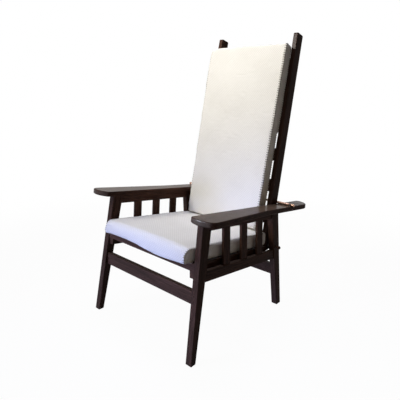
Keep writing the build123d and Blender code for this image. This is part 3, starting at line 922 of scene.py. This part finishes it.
def seam_tree(foam):
    """A search tree of the points along both side seams."""
    points = seam_points(foam, -1) + seam_points(foam, 1)
    tree = KDTree(len(points))
    for index, point in enumerate(points):
        tree.insert(point, index)
    tree.balance()
    return tree


def apply_modifiers(piece):
    """Replace a piece's mesh by what its modifiers make of it."""
    bpy.context.view_layer.update()
    graph = bpy.context.evaluated_depsgraph_get()
    made = bpy.data.meshes.new_from_object(piece.evaluated_get(graph))
    piece.modifiers.clear()
    piece.data = made


def hold_seams(piece, foam):
    """Hold the cloth fully along both side seams and softly elsewhere."""
    tree = seam_tree(foam)
    group = piece.vertex_groups.new(name="held")
    for vertex in piece.data.vertices:
        distance = tree.find(vertex.co)[2]
        near = max(0.0, 1 - distance / seam_reach)
        group.add([vertex.index], foam_hold + (1 - foam_hold) * near, "REPLACE")


def swell(piece, foam):
    """Let the cover swell over its foam, and cap how far any point moved."""
    before = [vertex.co.copy() for vertex in piece.data.vertices]
    hold_seams(piece, foam)
    cloth = piece.modifiers.new("swell", "CLOTH")
    settings = cloth.settings
    settings.quality = 4
    settings.mass = 0.25
    settings.tension_stiffness = 12.0
    settings.compression_stiffness = 12.0
    settings.shear_stiffness = 6.0
    settings.bending_stiffness = 0.6
    settings.shrink_min = -0.012
    settings.vertex_group_mass = "held"
    settings.pin_stiffness = 0.6
    settings.use_pressure = True
    settings.uniform_pressure_force = 3.0
    settings.effector_weights.gravity = 0.0
    cloth.collision_settings.use_collision = False
    scene = bpy.context.scene
    for number in range(1, swell_frames + 1):
        scene.frame_set(number)
    apply_modifiers(piece)
    scene.frame_set(1)
    moves = [vertex.co - start for vertex, start in zip(piece.data.vertices, before)]
    moves = calmed(np.array(moves), piece.data)
    for vertex, start, calm in zip(piece.data.vertices, before, moves):
        move = Vector(calm)
        if move.length > swell_cap:
            move = move.normalized() * swell_cap
        vertex.co = start + move


def calmed(moves, mesh):
    """Average each point's move with its neighbours', so that small creases go."""
    pairs = np.array([edge.vertices for edge in mesh.edges])
    counts = np.bincount(pairs.ravel(), minlength=len(moves))
    for _ in range(calm_rounds):
        total = np.zeros_like(moves)
        np.add.at(total, pairs[:, 0], moves[pairs[:, 1]])
        np.add.at(total, pairs[:, 1], moves[pairs[:, 0]])
        moves = (moves + total / counts[:, None]) / 2
    return moves


print("cloth squares", voxel_size * 1000, "mm, held", foam_hold, "of the way")

# %% [markdown]
# Real covers aren't perfectly smooth. Close to a sewn edge the cloth gathers into small
# puckers, and over the foam it lies in wide shallow waves. Both are added as small moves
# along the surface's own direction, so they catch the light as real form. The noise is
# Blender's own and is the same on every run.

# %% Puckers and waves
pucker_height = 0.0018
pucker_length = 0.026
pucker_reach = 0.020
wave_height = 0.0022
wave_length = 0.16
wave_start = Vector((3, 7, 1))


def ruffle(piece, foam):
    """Add small puckers beside the seams and shallow waves over the foam."""
    tree = seam_tree(foam)
    mesh = piece.data
    directions = [vertex.normal.copy() for vertex in mesh.vertices]
    for vertex, direction in zip(mesh.vertices, directions):
        distance = tree.find(vertex.co)[2]
        near = math.exp(-distance / pucker_reach) * min(1, distance / seam_reach)
        pucker = noise.noise(vertex.co / pucker_length) * pucker_height * near
        away = min(1, distance / (2 * pucker_reach))
        wave = noise.noise(vertex.co / wave_length + wave_start) * wave_height * away
        vertex.co += direction * (pucker + wave)


def make_cover(foam, cloth_material, body, node):
    """Build, swell, ruffle and place one cushion's cover."""
    piece = add_object(foam.name, shell_mesh(foam))
    remesh = piece.modifiers.new("even", "REMESH")
    remesh.mode = "VOXEL"
    remesh.voxel_size = voxel_size
    apply_modifiers(piece)
    for vertex in piece.data.vertices:
        vertex.co = foam.filled(vertex.co)
    swell(piece, foam)
    ruffle(piece, foam)
    smooth = piece.modifiers.new("fine", "SUBSURF")
    smooth.levels = smooth.render_levels = 1
    apply_modifiers(piece)
    piece.data.transform(foam.axes.to_4x4() @ Matrix.Translation(foam.origin))
    piece.data.shade_smooth()
    piece.data.materials.clear()
    piece.data.materials.append(cloth_material)
    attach(piece, body)
    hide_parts(node)
    print(foam.name, "faces", len(piece.data.polygons))
    return piece


seat_cover = make_cover(seat_foam, seat_cloth, "frame", "seat_cushion")
back_cover = make_cover(back_foam, back_cloth, "back_frame", "back_cushion")

# %% [markdown]
# The side panels are sewn on with a whipped stitch: a thread that goes over the edge
# again and again. Under it the two raw edges, turned in, make a low round ridge. The
# ridge is a tube along the seam and each stitch is a short bent one across it. Both
# follow the finished cover, found by the nearest point on its surface, so they lie on
# the cloth wherever the swelling took it.

# %% Seams and stitches
ridge_radius = 0.0015
tube_sides = 6
face_share = 1.4
stitch_bend_share = 0.6
stitch_rise_share = 0.5
# A direction that no seam runs in, from which each ring of a tube finds its own two.
odd_way = Vector((0.31, 0.52, 0.79))


def join_rings(made, rings, closed=False):
    """Add the faces between rings of corners, and over both ends if the row is open."""
    pairs = list(zip(rings, rings[1:]))
    if closed:
        pairs.append((rings[-1], rings[0]))
    for first, second in pairs:
        for index in range(len(first)):
            following = (index + 1) % len(first)
            made.faces.new((first[index], first[following], second[following], second[index]))
    if not closed:
        made.faces.new(reversed(rings[0]))
        made.faces.new(rings[-1])


def add_tube(made, points, radius, closed):
    """Add a tube along points to a mesh in the making."""
    rings = []
    count = len(points)
    for index, point in enumerate(points):
        before = points[index - 1] if index or closed else point
        after = points[(index + 1) % count] if index + 1 < count or closed else point
        ahead = (after - before).normalized()
        side = ahead.cross(odd_way).normalized()
        lift = ahead.cross(side)
        ring = []
        for corner in range(tube_sides):
            angle = 2 * math.pi * corner / tube_sides
            spoke = side * math.cos(angle) + lift * math.sin(angle)
            ring.append(made.verts.new(point + spoke * radius))
        rings.append(ring)
    join_rings(made, rings, closed)


def finish_piece(made, name, material, body):
    """Turn a mesh in the making into a piece that rides on a body."""
    bmesh.ops.recalc_face_normals(made, faces=made.faces)
    mesh = bpy.data.meshes.new(name)
    made.to_mesh(mesh)
    made.free()
    mesh.materials.append(material)
    mesh.shade_smooth()
    piece = add_object(name, mesh)
    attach(piece, body)
    return piece


def on_cover(tree, point):
    """The nearest point of a cover."""
    return tree.find_nearest(point)[0]


def stitch_points(foam, tree, place, down_panel, inward, radius):
    """One stitch, from the side panel over the ridge and onto the long panel."""
    low = on_cover(tree, place + down_panel * foam.stitch_reach)
    high = on_cover(tree, place + inward * foam.stitch_reach * face_share)
    outward = (place - (low + high) / 2).normalized()
    return [
        low,
        low.lerp(place, stitch_bend_share) + outward * ridge_radius,
        place + outward * (ridge_radius + radius * stitch_rise_share),
        high.lerp(place, stitch_bend_share) + outward * ridge_radius,
        high,
    ]


def sew(foam, cover, cloth_material, thread_material, body):
    """Add the ridges and the whipped stitches of both side seams."""
    tree = BVHTree.FromObject(cover, bpy.context.evaluated_depsgraph_get())
    ridges = bmesh.new()
    stitches = bmesh.new()
    count = 0
    for side in (-1, 1):
        stitch_radius = foam.stitch_radii[0] if side > 0 else foam.stitch_radii[1]
        flat = seam_points(foam, side)
        seam = [on_cover(tree, foam.place(point)) for point in flat]
        add_tube(ridges, seam, ridge_radius, True)
        inward = foam.axes @ Vector((-side, 0, 0))
        middle = sum(seam, Vector()) / len(seam)
        travelled = 0.0
        for first, second in zip(seam, seam[1:] + seam[:1]):
            travelled += (second - first).length
            if travelled < foam.stitch_spacing:
                continue
            travelled = 0.0
            ahead = (second - first).normalized()
            to_middle = middle - first
            to_middle -= inward * to_middle.dot(inward)
            down_panel = (to_middle - ahead * to_middle.dot(ahead)).normalized()
            bent = stitch_points(foam, tree, first, down_panel, inward, stitch_radius)
            add_tube(stitches, bent, stitch_radius, False)
            count += 1
    finish_piece(ridges, foam.name + "_seams", cloth_material, body)
    finish_piece(stitches, foam.name + "_stitches", thread_material, body)
    print(foam.name, "stitches", count)


# %% [markdown]
# The seat is sewn in grey thread and the back in brown, as the photograph shows. From
# here the twist of a thread is no more than a fine noise in its colour and its bump.

# %% The thread and the sewing
grey_thread = (0.20, 0.18, 0.16)
brown_thread = (0.150, 0.125, 0.100)
thread_shade = 0.6
twist_depth = 0.0002


def thread_finish(title, colour):
    """Twisted sewing thread."""
    material, finish = new_finish(title)
    place = finish.place()
    twist = finish.cloud(place, 900.0, 2.0, 0.5)
    darker = tuple(value * thread_shade for value in colour)
    surface(finish, {
        "Base Color": finish.blend(twist, colour, darker),
        "Roughness": 0.6 + twist * 0.2,
        "Specular IOR Level": 0.3,
        "Normal": finish.bump(twist, 0.4, twist_depth),
    })
    return material


seat_thread = thread_finish("thread_grey", grey_thread)
back_thread = thread_finish("thread_brown", brown_thread)
sew(seat_foam, seat_cover, seat_cloth, seat_thread, "frame")
sew(back_foam, back_cover, back_cloth, back_thread, "back_frame")

# %% [markdown]
# The rod and the two pivot pins are turned on a lathe, so each is a profile spun about
# its own axis. Smooth shading would blur the corners of such a profile, so the rod's gets
# extra rings close beside each corner, which keep it crisp.

# %% Spinning a profile
turn_steps = 40
softened_gap_share = 0.45


def spin(name, profile, place, material, body):
    """Spin an (along X, radius) profile about an axis through a place."""
    made = bmesh.new()
    rings = []
    for along, radius in profile:
        ring = []
        for step in range(turn_steps):
            angle = 2 * math.pi * step / turn_steps
            out = Vector((along, radius * math.cos(angle), radius * math.sin(angle)))
            ring.append(made.verts.new(place + out))
        rings.append(ring)
    join_rings(made, rings)
    return finish_piece(made, name, material, body)


def softened(points, reach):
    """A profile with each corner replaced by two points close to it."""
    made = [points[0]]
    for before, corner, after in zip(points, points[1:], points[2:]):
        here = Vector(corner)
        for other in (Vector(before), Vector(after)):
            gap = other - here
            near = min(reach, gap.length * softened_gap_share)
            made.append(tuple(here + gap.normalized() * near))
    made.append(points[-1])
    return made


def axis_place(low, high):
    """Where the axis of a turned piece crosses the chair's middle, from its box."""
    return Vector((0, (low.y + high.y) / 2, (low.z + high.z) / 2))


print("a turned piece has", turn_steps, "sides")

# %% [markdown]
# The rod is coppery brass, bright where hands slide along it, tarnished in patches and
# brown in the turned neck near each end. Fine noise squeezed round the axis stands for
# the lathe's marks. Half of the profile is written from the middle out, and mirrored.

# %% The rod
brass_bright = (0.42, 0.26, 0.185)
brass_tarnished = (0.14, 0.085, 0.06)
brass_in_neck = (0.035, 0.020, 0.014)
lathe_squeeze = (1, 0.02, 0.02)
lathe_depth = 0.0002


def brass_finish(neck_place, neck_half):
    """Coppery brass, tarnished in patches and brown in the rod's two necks."""
    material, finish = new_finish("coppery_brass")
    place = finish.place()
    from_middle = finish.maths("ABSOLUTE", finish.part(place, "X"))
    from_neck = finish.maths("ABSOLUTE", from_middle - neck_place)
    neck = 1 - finish.step(from_neck, neck_half, neck_half * 1.5)
    patches = finish.cloud(place, 42.0, 5.0, 0.62)
    tarnish = finish.step(patches, 0.42, 0.68)
    lathe = finish.cloud(finish.vector("MULTIPLY", place, lathe_squeeze), 1600.0, 2.0)
    bright = finish.blend(tarnish * 0.70, brass_bright, brass_tarnished)
    colour = finish.blend(neck * 0.85, bright, brass_in_neck)
    surface(finish, {
        "Base Color": colour,
        "Metallic": 1 - neck * 0.6,
        "Roughness": 0.16 + tarnish * 0.22 + neck * 0.3,
        "Normal": finish.bump(lathe, 0.2, lathe_depth),
    })
    return material


rod_low, rod_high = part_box("recline_rod")
rod_radius = (rod_high.z - rod_low.z) / 2
rod_end = rod_high.x
rod_neck_inset = 0.024
rod_neck = rod_end - rod_neck_inset
rod_neck_half = 0.0028
rod_neck_depth = 0.0014
rod_end_round = 0.0032
neck_shoulder = 0.0009
corner_reach = 0.0004
rod_end_shares = ((1.0, 1.0), (0.45, 0.86), (0.10, 0.55), (0.0, 0.08))
half_rod = [
    (rod_neck - rod_neck_half - neck_shoulder, rod_radius),
    (rod_neck - rod_neck_half, rod_radius - rod_neck_depth),
    (rod_neck + rod_neck_half, rod_radius - rod_neck_depth),
    (rod_neck + rod_neck_half + neck_shoulder, rod_radius),
]
for from_end, thick in rod_end_shares:
    half_rod.append((rod_end - rod_end_round * from_end, rod_radius * thick))
mirrored = [(-along, radius) for along, radius in reversed(half_rod)]
rod = spin(
    "turned_rod",
    softened(mirrored + half_rod, corner_reach),
    axis_place(rod_low, rod_high),
    brass_finish(rod_neck, rod_neck_half),
    "rod",
)
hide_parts("recline_rod")
print("rod", round(2 * rod_end, 3), "long,", round(2000 * rod_radius, 1), "mm thick")

# %% [markdown]
# The back turns on two wooden pins that go through the back legs. Each ends outside its
# leg in a turned knob: a narrow neck and a full round head. The shares below are where a
# point lies between the leg's face and the knob's end, and how thick it is against the
# neck or the head. The pins are handled less than the arms, so they are less rubbed, and
# their tops get less of the painted sheen.

# %% The pivot pins
pin_wear_and_sheen = 0.6
pin_radius = 0.0050
pin_start_share = 0.8
pin_chamfer_share = 0.2
knob_length = 0.025
knob_neck_radius = 0.0055
knob_neck_shares = ((0.01, 1.15), (0.08, 1.15), (0.12, 1.0), (0.24, 0.94), (0.36, 1.08))
knob_head_shares = ((0.50, 0.93), (0.64, 1.0), (0.78, 0.96), (0.90, 0.76), (0.97, 0.45))
knob_tip_share = 0.08


def knob_profile(start, end, knob_radius):
    """A pin with a turned knob: straight shank, narrow neck, full round head."""
    face = end - knob_length
    profile = [
        (start, pin_radius * pin_start_share),
        (start + pin_radius * pin_chamfer_share, pin_radius),
        (face, pin_radius),
    ]
    for along, thick in knob_neck_shares:
        profile.append((face + knob_length * along, knob_neck_radius * thick))
    for along, thick in knob_head_shares:
        profile.append((face + knob_length * along, knob_radius * thick))
    profile.append((end, knob_radius * knob_tip_share))
    return profile


pin_wood = wood_finish("wood_knob", tuple(across_chair), pin_wear_and_sheen)
for side, name in ((1, "left"), (-1, "right")):
    node = "pivot_pin_" + name
    pin_low, pin_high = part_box(node)
    knob_radius = (pin_high.z - pin_low.z) / 2
    start = min(abs(pin_low.x), abs(pin_high.x))
    end = max(abs(pin_low.x), abs(pin_high.x))
    profile = knob_profile(start, end, knob_radius)
    sided = [(side * along, radius) for along, radius in profile]
    place = axis_place(pin_low, pin_high)
    knob = spin("turned_knob_" + name, sided, place, pin_wood, "frame")
    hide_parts(node)
    print(node, "from", round(start, 3), "to", round(end, 3))

# %% [markdown]
# Between each stile and its leg a dull steel washer sits on the pin. Little of it shows,
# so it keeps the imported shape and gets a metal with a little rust.

# %% The washers
steel = (0.16, 0.155, 0.15)
steel_rust = (0.07, 0.045, 0.035)


def washer_finish():
    """Dull dark steel for the two washers on the pins."""
    material, finish = new_finish("washer_steel")
    place = finish.place()
    rust = finish.step(finish.cloud(place, 240.0, 4.0, 0.6), 0.45, 0.65)
    surface(finish, {
        "Base Color": finish.blend(rust, steel, steel_rust),
        "Metallic": 0.9 - rust * 0.5,
        "Roughness": 0.42 + rust * 0.3,
    })
    return material


washer = washer_finish()
for name in ("left", "right"):
    dress("pivot_spacer_" + name, washer)
